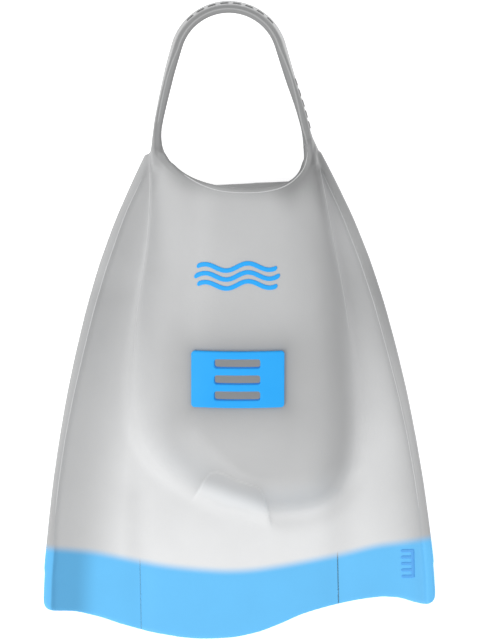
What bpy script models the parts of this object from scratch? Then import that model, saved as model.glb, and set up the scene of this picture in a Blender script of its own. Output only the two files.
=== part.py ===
"""Silicone swim training fin for a right foot, built as its separate moulding zones.

The open-heel foot pocket stands on its grooved sole, the heel strap loops behind it, two rails run from
the strap's roots to the corners of the blade, and the blade's blue tip is slit into three flaps.

Frame: +X towards the big toe's side, +Y towards the heel, +Z up, with the origin on the floor at the
middle of the plan. Every size below is in millimetres, and MM turns it into Blender's metres.
"""

import bisect
import math

import bmesh
import bpy
from mathutils import Matrix, Vector

MM = 0.001

# Overall size
HALF_LENGTH = 178.6
HALF_WIDTH = 110.0
GAP = 0.35  # kept between touching solids

# Moulding thicknesses
VAULT_THICKNESS = 3.0
WALL_THICKNESS = 3.6
WEB_THICKNESS = 3.0
SOLE_TOP = 6.0
GROOVE_DEPTH = 1.6
GROOVE_WIDTH = 4.0
GROOVE_PITCH = 14.0

# Where the pocket starts and ends, heel to toe
SOLE_REAR = 77.0
TOE_END = -115.0

# Heel strap and the hinge line through its two roots
STRAP_HINGE_Y = 96.0
STRAP_HINGE_Z = 48.0
STRAP_THICKNESS = 4.6
STRAP_ROOT_HALF_HEIGHT = 9.0
STRAP_BACK_HALF_HEIGHT = 11.0
STRAP_BACK_RISE = 3.0
STRAP_BACK_LEAN = 0.12  # how far the band leans towards the ankle, per millimetre of height
STRAP_SOCKET_RADIUS = STRAP_ROOT_HALF_HEIGHT + 0.6

# Rails and the line on which the three flaps of the tip bend
RAIL_HEIGHT = 11.0
RAIL_TOP_END = 91.0
FLEX_Y = -127.0
FLEX_Z = 10.0
FLEX_HALF_GAP = 1.5
SLIT_X = 55.5
SLIT_HALF_GAP = 0.3

# Vent badge on the instep
BADGE_CENTRE = (3.0, -31.7)
BADGE_SIZE = (51.5, 31.5)
BADGE_THICKNESS = 2.0
SLOT_SIZE = (25.5, 4.6)
SLOT_PITCH = 9.0
SLOT_RADIUS = 1.4
WINDOW_SIZE = (29.0, 25.0)

# Linear colours
GREY = (0.56, 0.565, 0.57, 1.0)
PALE_GREY = (0.76, 0.765, 0.77, 1.0)
BLUE = (0.15, 0.53, 0.95, 1.0)
BADGE_BLUE = (0.05, 0.43, 0.95, 1.0)


def profile(*points):
    """A smooth curve through (position, value) points that doesn't overshoot between them."""
    points = sorted(points)
    xs = [p[0] for p in points]
    ys = [p[1] for p in points]
    slopes = [(b[1] - a[1]) / (b[0] - a[0]) for a, b in zip(points, points[1:])]
    inner = [0.0 if a * b <= 0 else 2 * a * b / (a + b) for a, b in zip(slopes, slopes[1:])]
    tangents = [slopes[0], *inner, slopes[-1]]

    def value(x):
        x = min(max(x, xs[0]), xs[-1])
        i = min(bisect.bisect_right(xs, x) - 1, len(xs) - 2)
        width = xs[i + 1] - xs[i]
        t = (x - xs[i]) / width
        start = (1 + 2 * t) * (1 - t) ** 2 * ys[i] + t * (1 - t) ** 2 * width * tangents[i]
        end = t * t * (3 - 2 * t) * ys[i + 1] + t * t * (t - 1) * width * tangents[i + 1]
        return start + end

    return value


def mix(a, b, t):
    return a + (b - a) * t


# Plan of the pocket: its little-toe side and its big-toe side, against Y
pocket_left = profile(
    (96, -45), (68, -45.5), (38, -48.5), (12, -53.5), (-16, -57), (-44, -58),
    (-62, -56.5), (-77, -50), (-89, -36), (-99, -20), (-107, -4), (TOE_END, 10),
)
pocket_right = profile(
    (96, 45), (77, 49.5), (48, 56.5), (10, 63), (-18, 66.5), (-46, 69.5),
    (-74, 70.5), (-90, 66), (-101, 59), (-109, 49), (TOE_END, 37),
)
# The pocket's front edge, against X, between the two slits
toe_front = profile(
    (-57.5, -52), (-56, -64), (-50, -77), (-36, -89), (-20, -99), (-4, -107),
    (10, -113), (24, TOE_END), (37, -114), (49, -109), (55.5, -104),
)

# Heights along the pocket
wall_top = profile(
    (96, 60), (60, 43), (30, 31), (0, 23), (-40, 16.5), (-80, 14.5), (TOE_END, 14),
)
toe_wall_top = profile((-60, 14.6), (-90, 13.6), (-105, 11.8), (TOE_END, 11.6))
crest_height = profile(
    (96, 84), (73, 80), (40, 71), (0, 59), (-40, 48), (-74, 41.5), (-86, 38.5),
    (-94, 35), (-101, 30), (-107, 24), (-112, 18), (TOE_END, 14.6),
)
crest_x = profile((96, 20), (73, 21), (48, 20), (10, 24), (-27, 30), (-64, 35), (-95, 35), (TOE_END, 25))
mouth_y = profile(
    (0, 91), (0.10, 89), (0.20, 81.5), (0.34, 76.5), (0.57, 72.8), (0.77, 74.5), (0.90, 82.5), (0.97, 89), (1, 91),
)

# Heights and widths of the blade and rails
outer_x = profile((96, 47.2), (90, 50.5), (56, 66.4), (11, 82), (-45, 95.6), (-101, 104.8), (-157, HALF_WIDTH))
rail_width = profile((96, 2.2), (80, 4.6), (40, 5.6), (-20, 5.4), (-65, 3.8), (-157, 3.3))
rail_top = profile((96, 52), (60, 44), (30, 37), (0, 31), (-40, 24.5), (-80, 19.5), (-120, 16), (-165, 14.2))
web_floor = profile((96, 46), (60, 34), (30, 25), (0, 19), (-40, 15), (-80, 13), (TOE_END, 12.2), (-178, 9.6))
web_edge_left = profile(
    (96, -45), (68, -45.5), (38, -48.5), (12, -53.5), (-16, -57), (-44, -58), (-62, -57), (-90, -SLIT_X), (-180, -SLIT_X),
)
web_edge_right = profile(
    (96, 45), (77, 49.5), (48, 56.5), (10, 63), (-18, 66.5), (-46, 69.5),
    (-74, 70.5), (-90, 66), (-101, 59), (-105, SLIT_X), (-180, SLIT_X),
)
# The blade's front edge, against X
blade_front = profile(
    (-108, -160.8), (-87, -161.8), (-65, -169), (-38, -175.7), (-16, -HALF_LENGTH),
    (7, -175.5), (34, -165.4), (61, -158.6), (83, -156.3), (108, -161.2),
)
WEB_REAR = 78.0
TOE_CLEARANCE = 1.6
RAIL_JOIN_DROP = 3.5
BLADE_CROWN = 1.4
VAULT_LEFT_FULLNESS = 2.2
VAULT_RIGHT_FULLNESS = 2.6


def vault_z(x, y):
    """Height of the pocket's outer surface above the floor at a point inside its plan."""
    left, right, crest = pocket_left(y), pocket_right(y), crest_x(y)
    if x < crest:
        reach, fullness = (crest - x) / (crest - left), VAULT_LEFT_FULLNESS
    else:
        reach, fullness = (x - crest) / (right - crest), VAULT_RIGHT_FULLNESS
    arch = max(0.0, 1 - min(reach, 1.0) ** fullness) ** (1 / fullness)
    return mix(wall_top(y), crest_height(y), arch)


def blade_z(x, y):
    """Height of the upper surface of the webs, the blade and its tip."""
    edge = web_edge_right(y) if x > 0 else -web_edge_left(y)
    reach = abs(x)
    if reach <= edge:
        return web_floor(y) + BLADE_CROWN * (1 - (reach / edge) ** 2)
    rail_face = outer_x(y) - rail_width(y)
    share = (reach - edge) / max(rail_face - edge, 0.1)
    return mix(web_floor(y), rail_top(y) - RAIL_JOIN_DROP, min(share, 1.0) ** 1.6)


# Scene and object helpers


def clear_scene():
    for obj in list(bpy.data.objects):
        bpy.data.objects.remove(obj)


def new_collection(name):
    collection = bpy.data.collections.new(name)
    bpy.context.scene.collection.children.link(collection)
    return collection


def new_material(name, colour, roughness):
    material = bpy.data.materials.new(name)
    material.use_nodes = True
    shader = material.node_tree.nodes["Principled BSDF"]
    shader.inputs["Base Color"].default_value = colour
    shader.inputs["Roughness"].default_value = roughness
    shader.inputs["Metallic"].default_value = 0.0
    return material


def finish_mesh(name, mesh, material, collection):
    obj = bpy.data.objects.new(name, mesh)
    mesh.materials.append(material)
    collection.objects.link(obj)
    mesh.shade_smooth()
    mesh.set_sharp_from_angle(angle=math.radians(40))
    return obj


def sheet(name, columns, rows, surface, thickness, material, offset=-1.0, open_at=None):
    """A grid laid over surface(u, v), given in millimetres, and thickened to a closed shell.

    open_at(column, row) says which of the grid's cells are left out.
    """
    shape = bmesh.new()
    bmesh.ops.create_grid(shape, x_segments=columns, y_segments=rows, size=0.5)
    if open_at:
        centres = [(f, f.calc_center_median()) for f in shape.faces]
        gone = [f for f, c in centres if open_at(int((c.x + 0.5) * columns), int((c.y + 0.5) * rows))]
        bmesh.ops.delete(shape, geom=gone, context="FACES")
    for vertex in shape.verts:
        vertex.co = Vector(surface(vertex.co.x + 0.5, vertex.co.y + 0.5)) * MM
    mesh = bpy.data.meshes.new(name)
    shape.to_mesh(mesh)
    shape.free()
    obj = finish_mesh(name, mesh, material, FIN)
    solid = obj.modifiers.new("thickness", "SOLIDIFY")
    solid.thickness = thickness * MM
    solid.offset = offset
    solid.use_even_offset = True
    return obj


def block(name, columns, rows, surface, material):
    """A cube cut into columns and rows, with surface(u, v, w) placing each point in millimetres."""
    shape = bmesh.new()
    bmesh.ops.create_cube(shape, size=1.0)
    for axis, cuts in ((0, columns - 1), (1, rows - 1)):
        along = [e for e in shape.edges if abs((e.verts[1].co - e.verts[0].co)[axis]) > 0.9]
        bmesh.ops.subdivide_edges(shape, edges=along, cuts=cuts, use_grid_fill=True)
    for vertex in shape.verts:
        place = vertex.co + Vector((0.5, 0.5, 0.5))
        vertex.co = Vector(surface(place.x, place.y, place.z)) * MM
    mesh = bpy.data.meshes.new(name)
    shape.to_mesh(mesh)
    shape.free()
    return finish_mesh(name, mesh, material, FIN)


def slab(name, columns, rows, surface, thickness, material):
    """A plate of constant upright thickness whose upper face is surface(u, v), in millimetres."""

    def place(u, v, w):
        x, y, z = surface(u, v)
        return x, y, z - thickness * (1 - w)

    return block(name, columns, rows, place, material)


def plan_outline(name, points, bottom, top, material, collection):
    """A flat plate from a closed outline in plan, as a filled 2D curve extruded by half its height."""
    curve = bpy.data.curves.new(name, "CURVE")
    curve.dimensions = "2D"
    curve.fill_mode = "BOTH"
    curve.extrude = (top - bottom) / 2 * MM
    line = curve.splines.new("POLY")
    line.points.add(len(points) - 1)
    for point, (x, y) in zip(line.points, points):
        point.co = (x * MM, y * MM, 0, 1)
    line.use_cyclic_u = True
    curve.materials.append(material)
    obj = bpy.data.objects.new(name, curve)
    obj.location.z = (bottom + top) / 2 * MM
    collection.objects.link(obj)
    return obj


def as_mesh(obj):
    """Turns a curve object into a welded mesh object of the same name, so that it can be cut or cut with."""
    name, collection = obj.name, obj.users_collection[0]
    bpy.context.view_layer.update()
    graph = bpy.context.evaluated_depsgraph_get()
    mesh = bpy.data.meshes.new_from_object(obj.evaluated_get(graph))
    shape = bmesh.new()
    shape.from_mesh(mesh)
    bmesh.ops.remove_doubles(shape, verts=shape.verts, dist=0.00001)
    bmesh.ops.recalc_face_normals(shape, faces=shape.faces)
    shape.to_mesh(mesh)
    shape.free()
    matrix = obj.matrix_world.copy()
    bpy.data.objects.remove(obj)
    made = bpy.data.objects.new(name, mesh)
    made.matrix_world = matrix
    collection.objects.link(made)
    return made


def cut(obj, cutter):
    cutter.hide_render = True
    cutter.display_type = "WIRE"
    boolean = obj.modifiers.new("cut_" + cutter.name, "BOOLEAN")
    boolean.operation = "DIFFERENCE"
    boolean.solver = "EXACT"
    boolean.object = cutter


def hinge(name, y, z, *pieces):
    """An empty on a hinge line across the fin, with the pieces that turn about it as its children."""
    empty = bpy.data.objects.new(name, None)
    empty.empty_display_size = 20 * MM
    empty.location = (0, y * MM, z * MM)
    FIN.objects.link(empty)
    for piece in pieces:
        piece.parent = empty
        piece.matrix_parent_inverse = Matrix.Translation(-empty.location)


def rounded_rectangle(centre, size, radius, turn=0.0, steps=3):
    points = []
    for corner, (sx, sy) in enumerate(((1, 1), (-1, 1), (-1, -1), (1, -1))):
        for step in range(steps + 1):
            angle = math.radians(90) * (corner + step / steps)
            x = sx * (size[0] / 2 - radius) + radius * math.cos(angle)
            y = sy * (size[1] / 2 - radius) + radius * math.sin(angle)
            points.append(
                (
                    centre[0] + x * math.cos(turn) - y * math.sin(turn),
                    centre[1] + x * math.sin(turn) + y * math.cos(turn),
                )
            )
    return points


# Sub-parts of the foot pocket


def make_sole():
    """The footbed: the pocket's plan, closed by a straight rear edge, with grip grooves underneath."""
    front_steps, side_steps = 14, 16
    left = [mix(SOLE_REAR, -60, i / side_steps) for i in range(side_steps)]
    front = [mix(-56.5, 54, i / front_steps) for i in range(1, front_steps)]
    right = [mix(-95, SOLE_REAR, i / side_steps) for i in range(side_steps + 1)]
    outline = [(pocket_left(y), y) for y in left]
    outline += [(x, toe_front(x)) for x in front]
    outline += [(pocket_right(y), y) for y in right]
    sole = as_mesh(plan_outline("sole", outline, 0, SOLE_TOP, SILICONE_GREY, FIN))
    for i in range(12):
        y = -86.0 + i * GROOVE_PITCH
        groove = rounded_rectangle((mix(pocket_left(y), pocket_right(y), 0.5), y), (160, GROOVE_WIDTH), 0.5, steps=1)
        cut(sole, as_mesh(plan_outline(f"groove_{i + 1}", groove, -5, GROOVE_DEPTH, SILICONE_GREY, CUTTERS)))


def wall_rear(z):
    """How far back a side wall reaches at height z, with the round socket for the strap's root."""
    edge = REAR_EDGE(z)
    if abs(z - STRAP_HINGE_Z) < STRAP_SOCKET_RADIUS:
        depth = math.sqrt(STRAP_SOCKET_RADIUS**2 - (z - STRAP_HINGE_Z) ** 2)
        edge = min(edge, STRAP_HINGE_Y - depth)
    return edge


REAR_EDGE = profile((SOLE_TOP, 78), (18, 84), (32, 89), (38, 90.5), (60, 90.5))
WALL_FRONT = -60.0


def make_side_wall(name, plan, side):
    """One side of the pocket, from the sole up to the vault, and back to the strap's root."""

    def surface(u, v):
        y = 91.0
        for _ in range(12):
            z = mix(SOLE_TOP + GAP, wall_top(y) - GAP, v)
            y = mix(wall_rear(z), WALL_FRONT, u)
        return plan(y) + side * 0.05, y, mix(SOLE_TOP + GAP, wall_top(y) - GAP, v)

    return sheet(name, 26, 14, surface, WALL_THICKNESS, SILICONE_GREY, side)


def make_toe_wall():
    """The low wall round the toes that joins the two side walls."""

    def surface(u, v):
        turn = mix(0, 1, u)
        if turn < 0.16:
            y = mix(WALL_FRONT - 2 * GAP, -62, turn / 0.16)
            x = pocket_left(y)
        elif turn < 0.82:
            x = mix(pocket_left(-62), 50, (turn - 0.16) / 0.66)
            y = toe_front(x)
        else:
            y = mix(toe_front(50), WALL_FRONT - 2 * GAP, (turn - 0.82) / 0.18)
            x = pocket_right(y)
        return x, y, mix(SOLE_TOP + GAP, toe_wall_top(y), v)

    return sheet("toe_wall", 34, 2, surface, WALL_THICKNESS, SILICONE_GREY)


def make_instep_shell():
    """The vault over the foot, open at the mouth and closed down to the blade at the toes."""

    def surface(u, v):
        share = (1 - math.cos(math.pi * u)) / 2
        y = mix(TOE_END, mouth_y(share), v**1.25)
        x = mix(pocket_left(y), pocket_right(y), share)
        return x, y, vault_z(x, y) + GAP

    shell = sheet("instep_shell", 26, 34, surface, VAULT_THICKNESS, SILICONE_GREY)
    window = plan_outline(
        "vent_window", rounded_rectangle(BADGE_CENTRE, WINDOW_SIZE, 2.0), 20, 90, SILICONE_GREY, CUTTERS
    )
    cut(shell, as_mesh(window))


def make_mouth_rim():
    """The rolled bead round the mouth, a round bar on the vault's rear edge."""
    radius, points = 2.1, 29
    curve = bpy.data.curves.new("mouth_rim", "CURVE")
    curve.dimensions = "3D"
    curve.bevel_depth = radius * MM
    curve.bevel_resolution = 2
    curve.use_fill_caps = True
    line = curve.splines.new("POLY")
    line.points.add(points - 1)
    for i, point in enumerate(line.points):
        share = mix(0.10, 0.93, i / (points - 1))
        edge = mouth_y(share)
        y = edge + radius + 1.9
        x = mix(pocket_left(edge), pocket_right(edge), share)
        point.co = (x * MM, y * MM, (vault_z(x, edge) - 0.4) * MM, 1)
    curve.materials.append(SILICONE_GREY)
    FIN.objects.link(bpy.data.objects.new("mouth_rim", curve))


def make_vent_badge():
    """The blue plate on the instep, with three slots that let water out of the pocket."""
    lift = 0.8 + BADGE_THICKNESS

    def surface(u, v):
        x = BADGE_CENTRE[0] + (u - 0.5) * BADGE_SIZE[0]
        y = BADGE_CENTRE[1] + (v - 0.5) * BADGE_SIZE[1]
        return x, y, vault_z(x, y) + lift

    badge = sheet("vent_badge", 14, 8, surface, BADGE_THICKNESS, BLUE_BADGE)
    for i in (-1, 0, 1):
        centre = (BADGE_CENTRE[0], BADGE_CENTRE[1] + i * SLOT_PITCH)
        slot = plan_outline(
            f"vent_slot_{i + 2}", rounded_rectangle(centre, SLOT_SIZE, SLOT_RADIUS), 20, 90, BLUE_BADGE, CUTTERS
        )
        cut(badge, as_mesh(slot))


def make_wave_emblem():
    """A raised mark on the instep: three waves that meet at both ends."""
    centre, length, width, swing = (2.5, 24.6), 48.0, 15.0, 2.0

    def surface(u, v):
        x = centre[0] + (u - 0.5) * length
        y = centre[1] + (v - 0.5) * width + swing * math.sin(4 * math.pi * u)
        return x, y, vault_z(x, y) + 1.5

    def between_waves(column, row):
        return row % 2 == 1 and 0 < column < 23

    sheet("wave_emblem", 24, 5, surface, 0.7, BLUE_BADGE, open_at=between_waves)


# Sub-parts of the blade


def make_web(name, side, edge):
    """The web between one side of the pocket and its rail, down to the flex line."""

    def surface(u, v):
        y = mix(FLEX_Y + FLEX_HALF_GAP, WEB_REAR, v)
        inner = abs(edge(y)) + 3 * GAP
        outer = max(outer_x(y) - rail_width(y) - 2 * GAP, inner + 0.3)
        share = u if side > 0 else 1 - u
        x = side * mix(inner, outer, share)
        return x, y, blade_z(x, y)

    return slab(name, 6, 28, surface, WEB_THICKNESS, SILICONE_GREY)


def make_blade_panel():
    """The middle of the blade, from the toes to the flex line."""

    def surface(u, v):
        x = mix(-SLIT_X + GAP, SLIT_X - GAP, u)
        y = mix(FLEX_Y + FLEX_HALF_GAP, toe_front(x) - TOE_CLEARANCE, v)
        return x, y, blade_z(x, y)

    return slab("blade_panel", 20, 6, surface, WEB_THICKNESS, SILICONE_PALE)


def make_flap(name, low_x, high_x, columns):
    """One flap of the tip, from the flex line to the blade's front edge."""

    def surface(u, v):
        x = mix(low_x(FLEX_Y), high_x(FLEX_Y), u)
        y = mix(blade_front(x), FLEX_Y - FLEX_HALF_GAP, v)
        x = mix(low_x(y), high_x(y), u)
        return x, y, blade_z(x, y)

    return slab(name, columns, 6, surface, WEB_THICKNESS, SILICONE_BLUE)


def rail_face_x(y):
    return outer_x(y) - rail_width(y) - GAP


def make_flaps():
    """The left, centre and right flaps."""
    return (
        make_flap("left_tip_flap", lambda y: -rail_face_x(y), lambda y: -SLIT_X - SLIT_HALF_GAP, 10),
        make_flap("centre_tip_flap", lambda y: -SLIT_X + SLIT_HALF_GAP, lambda y: SLIT_X - SLIT_HALF_GAP, 18),
        make_flap("right_tip_flap", lambda y: SLIT_X + SLIT_HALF_GAP, rail_face_x, 10),
    )


def make_rail(name, side, rear, front, rows, material):
    """A stretch of one edge rail, a rounded bar whose width and height follow the fin's edge."""

    def surface(u, v, w):
        y = mix(front, rear, v)
        x = side * (outer_x(y) - rail_width(y) * (u if side < 0 else 1 - u))
        return x, y, rail_top(y) - RAIL_HEIGHT * (1 - w)

    rail = block(name, 1, rows, surface, material)
    rounding = rail.modifiers.new("rounding", "BEVEL")
    rounding.width = 1.0 * MM
    rounding.segments = 2
    rounding.limit_method = "ANGLE"
    rounding.angle_limit = math.radians(50)
    return rail


def make_rails():
    """Both rails down to the flex line, and their last stretches beside the outer flaps."""
    tips = []
    for side, word in ((-1, "left"), (1, "right")):
        make_rail(f"{word}_rail", side, RAIL_TOP_END, FLEX_Y + FLEX_HALF_GAP, 30, SILICONE_GREY)
        corner = blade_front(side * 108)
        tips.append(make_rail(f"{word}_rail_tip", side, FLEX_Y - FLEX_HALF_GAP, corner, 8, SILICONE_BLUE))
    return tips


rib_left = profile((-84, -18), (-99, -23), (-130, -28))
rib_right = profile((-84, 9), (-99, 14), (-130, 19.5))
rib_fall = profile((0, 0.0), (0.3, 0.22), (0.62, 0.66), (1, 1.0))


def make_power_rib():
    """The ramp that braces the toe end of the pocket against the blade."""

    def ground(x, y):
        beside_vault = x > pocket_left(y) - 3 and y > TOE_END - 1
        vault = vault_z(max(x, pocket_left(y) + 1.2), y) if beside_vault else 0.0
        return max(vault, blade_z(x, y))

    def surface(u, v, w):
        y = mix(FLEX_Y + FLEX_HALF_GAP, mix(-86, -95, u), v)
        x = mix(rib_left(y), rib_right(y), u)
        base = ground(x, y) + 1.6
        crown = mix(33.5, 15.0, rib_fall(1 - v)) - 2.0 * (2 * u - 1) ** 4
        return x, y, max(crown, base + 1.2) if w > 0.5 else base

    return block("power_rib", 10, 12, surface, SILICONE_PALE)


def make_tip_ladder():
    """A raised ladder mark near the right rail: five rungs on one stile."""
    rungs = 5

    def surface(u, v):
        x = mix(90.5, 98.5, u)
        y = mix(-148.5, -133.0, v)
        return x, y, blade_z(x, y) + 0.95

    def between_rungs(column, row):
        return row % 2 == 1 and column != 1

    return sheet("tip_ladder", 3, 2 * rungs - 1, surface, 0.6, SILICONE_BLUE, open_at=between_rungs)


# Heel strap

STRAP_ARCH_RADIUS = 30.2
STRAP_ARCH_START = math.radians(18)
STRAP_ARCH_Y = (
    HALF_LENGTH - STRAP_THICKNESS / 2 - STRAP_BACK_LEAN * STRAP_BACK_HALF_HEIGHT - STRAP_ARCH_RADIUS
)
strap_half_x = profile(
    (STRAP_HINGE_Y, 43.0), (104, 42.4), (112, 41.0), (123, 38.3), (134, 35.1), (145.6, 31.7),
    (
        STRAP_ARCH_Y + STRAP_ARCH_RADIUS * math.sin(STRAP_ARCH_START),
        STRAP_ARCH_RADIUS * math.cos(STRAP_ARCH_START),
    ),
)


def strap_path(share):
    """The strap's middle line in plan: share 0 and 1 at its roots, 0.5 at the back of the heel."""
    side = -1 if share < 0.5 else 1
    run = min(share, 1 - share) * 2
    straight = 0.6
    if run < straight:
        arch_start = STRAP_ARCH_Y + STRAP_ARCH_RADIUS * math.sin(STRAP_ARCH_START)
        y = mix(STRAP_HINGE_Y, arch_start, run / straight)
        return side * strap_half_x(y), y
    angle = mix(STRAP_ARCH_START, math.radians(90), (run - straight) / (1 - straight))
    return (
        side * STRAP_ARCH_RADIUS * math.cos(angle),
        STRAP_ARCH_Y + STRAP_ARCH_RADIUS * math.sin(angle),
    )


def make_heel_strap():
    """The band round the heel, with half-round roots that turn in the side walls' sockets."""

    def surface(u, v):
        x, y = strap_path(u)
        back = math.sin(math.pi * min(max(u, 0.0), 1.0)) ** 2
        height = (2 * v - 1) * mix(STRAP_ROOT_HALF_HEIGHT, STRAP_BACK_HALF_HEIGHT, back)
        root = max(0.0, 1 - (y - STRAP_HINGE_Y) / 10)
        y -= root * math.sqrt(max(0.0, STRAP_ROOT_HALF_HEIGHT**2 - height**2)) * (1 if root > 0 else 0)
        outward = Vector((x, max(0.0, y - STRAP_ARCH_Y), 0)).normalized()
        lean = -STRAP_BACK_LEAN * back * height
        return (
            x + outward.x * lean,
            y + outward.y * lean,
            STRAP_HINGE_Z + STRAP_BACK_RISE * back + height,
        )

    return sheet("heel_strap", 56, 8, surface, STRAP_THICKNESS, SILICONE_GREY, 0.0)


def main():
    make_sole()
    make_side_wall("lateral_wall", pocket_left, -1)
    make_side_wall("medial_wall", pocket_right, 1)
    make_toe_wall()
    make_instep_shell()
    make_mouth_rim()
    make_vent_badge()
    make_wave_emblem()
    make_web("left_web", -1, web_edge_left)
    make_web("right_web", 1, web_edge_right)
    make_blade_panel()
    make_power_rib()
    left_rail_tip, right_rail_tip = make_rails()
    left_flap, centre_flap, right_flap = make_flaps()
    hinge("left_tip_axis", FLEX_Y, FLEX_Z, left_flap, left_rail_tip)
    hinge("centre_tip_axis", FLEX_Y, FLEX_Z, centre_flap)
    hinge("right_tip_axis", FLEX_Y, FLEX_Z, right_flap, right_rail_tip, make_tip_ladder())
    hinge("heel_strap_axis", STRAP_HINGE_Y, STRAP_HINGE_Z, make_heel_strap())


clear_scene()
FIN = new_collection("swim_fin")
CUTTERS = new_collection("cutters")
SILICONE_GREY = new_material("silicone_grey", GREY, 0.45)
SILICONE_PALE = new_material("silicone_pale", PALE_GREY, 0.45)
SILICONE_BLUE = new_material("silicone_blue", BLUE, 0.4)
BLUE_BADGE = new_material("badge_blue", BADGE_BLUE, 0.35)
main()
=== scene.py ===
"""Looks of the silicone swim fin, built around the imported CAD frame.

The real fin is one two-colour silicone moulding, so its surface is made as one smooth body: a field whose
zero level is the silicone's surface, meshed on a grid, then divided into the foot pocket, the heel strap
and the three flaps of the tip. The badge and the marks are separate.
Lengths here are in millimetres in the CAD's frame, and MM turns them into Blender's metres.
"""

import math

import bmesh
import bpy
import numpy as np
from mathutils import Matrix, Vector


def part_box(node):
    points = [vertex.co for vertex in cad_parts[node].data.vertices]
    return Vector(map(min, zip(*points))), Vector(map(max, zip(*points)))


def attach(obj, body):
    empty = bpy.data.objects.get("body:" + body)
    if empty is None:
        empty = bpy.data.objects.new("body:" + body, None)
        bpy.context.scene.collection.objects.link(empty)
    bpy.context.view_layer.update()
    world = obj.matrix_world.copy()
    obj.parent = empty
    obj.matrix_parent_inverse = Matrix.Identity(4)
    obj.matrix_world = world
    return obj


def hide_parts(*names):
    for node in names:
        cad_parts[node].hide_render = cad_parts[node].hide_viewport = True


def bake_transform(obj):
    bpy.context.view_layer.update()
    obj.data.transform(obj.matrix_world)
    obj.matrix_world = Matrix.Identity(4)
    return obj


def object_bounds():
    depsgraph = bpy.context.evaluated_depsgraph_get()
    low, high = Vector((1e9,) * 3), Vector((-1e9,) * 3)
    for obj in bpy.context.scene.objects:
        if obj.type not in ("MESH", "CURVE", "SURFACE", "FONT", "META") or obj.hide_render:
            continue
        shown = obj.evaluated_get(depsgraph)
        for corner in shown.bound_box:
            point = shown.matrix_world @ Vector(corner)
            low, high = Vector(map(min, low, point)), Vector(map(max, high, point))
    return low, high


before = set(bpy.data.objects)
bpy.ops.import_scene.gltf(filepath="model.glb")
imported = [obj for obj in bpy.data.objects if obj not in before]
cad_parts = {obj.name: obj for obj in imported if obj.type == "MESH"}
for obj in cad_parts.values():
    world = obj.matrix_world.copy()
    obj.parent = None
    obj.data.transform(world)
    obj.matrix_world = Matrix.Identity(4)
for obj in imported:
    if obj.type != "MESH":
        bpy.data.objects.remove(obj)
CAD_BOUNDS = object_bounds()

MM = 0.001
# Spacing of the samples in the silicone, the badge and the emblem, and the ladder mark
GRID = 1.0
MARK_GRID = 0.36
LADDER_GRID = 0.3

# The pocket: thickness of its walls and vault, and the heights where its openings stop
SOLE_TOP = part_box("sole")[1].z / MM
WALL = 3.6
SHELL = 3.0
MOUTH_BOTTOM = 14
WINDOW_HALF = (14.5, 12.5)
WINDOW_BOTTOM = 20

# The webs, the blade, the rails and the rib
WEB = 3.0
WEB_REAR = 93.3
RAIL_HALF_HEIGHT = 5.4
RIB_BOTTOM = 9
SLIT_X = 55.5
SLIT_START = -131.0
SLIT_GAP = 0.02

# The planes where the tips' skins and the strap's skin part from the pocket's
TIP_CUT = -114.0
STRAP_CUT = 93.5
CUT_MARGIN = 3.0

# The badge and the two marks
BADGE_CENTRE = (1.7, -32.9)
BADGE_TURN = math.radians(-1.3)
BADGE_SIZE = (51.5, 31.5)
BADGE_BOW = 0.6
SLOT_PITCH = 9.0
SLOT_SIZE = (25.5, 5.0)
SLOT_RADIUS = 1.4
EMBLEM_CENTRE = (2.3, 24.6)
LADDER_CENTRE = (94.5, -138.5)


# Curves and smooth combinations


def straight_on(x, xs, ys):
    """Interpolates between points, and goes straight on beyond the first and the last."""
    first = (ys[1] - ys[0]) / (xs[1] - xs[0])
    last = (ys[-1] - ys[-2]) / (xs[-1] - xs[-2])
    values = np.where(x < xs[0], ys[0] + first * (x - xs[0]), np.interp(x, xs, ys))
    return np.where(x > xs[-1], ys[-1] + last * (x - xs[-1]), values)


def curve(points, soft=3.0, step=0.5):
    """A smooth function through (position, value) points, rounded over soft millimetres."""
    xs, ys = np.array(sorted(points), float).T
    pad = 4 * soft + step
    at = np.arange(xs[0] - pad, xs[-1] + pad, step)
    reach = int(3 * soft / step)
    window = np.exp(-0.5 * (np.arange(-reach, reach + 1) * step / soft) ** 2)
    count = len(at)
    padded = straight_on(np.arange(-reach, count + reach), np.arange(count), straight_on(at, xs, ys))
    values = np.convolve(padded, window / window.sum(), mode="valid")

    def value(x):
        return straight_on(x, at, values)

    return value


def smooth_min(a, b, k):
    """The smaller of a and b, with the corner between them rounded where they differ by less than k."""
    h = np.maximum(k - np.abs(a - b), 0) / k
    return np.minimum(a, b) - h * h * k / 4


def smooth_max(a, b, k):
    return -smooth_min(-a, -b, k)


def ramp(x, start, end):
    """0 up to start, 1 from end on, with a smooth step between."""
    t = np.clip((x - start) / (end - start), 0, 1)
    return t * t * (3 - 2 * t)


def bell(x, middle, width):
    """1 at the middle, falling off smoothly to both sides."""
    return np.exp(-(((x - middle) / width) ** 2))


def rounded_path(points, closed=False, rounds=4):
    """Chaikin's corner cutting: a smooth line from a few corner points."""
    p = np.array(points, float)
    for _ in range(rounds):
        q = np.roll(p, -1, axis=0) if closed else p[1:]
        a = p if closed else p[:-1]
        cut = np.stack([0.75 * a + 0.25 * q, 0.25 * a + 0.75 * q], axis=1).reshape(-1, 2)
        p = cut if closed else np.vstack([p[:1], cut, p[-1:]])
    return p


def lengths_along(path):
    """The length of a line of points up to each of them."""
    return np.concatenate([[0], np.cumsum(np.linalg.norm(np.diff(path, axis=0), axis=1))])


def points_at(path, at):
    """The points of a line in plan at the given lengths along it."""
    length = lengths_along(path)
    return np.column_stack([np.interp(at, length, path[:, 0]), np.interp(at, length, path[:, 1])])


def directions(path):
    ahead = np.gradient(path, axis=0)
    return ahead / np.linalg.norm(ahead, axis=1)[:, None]


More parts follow.
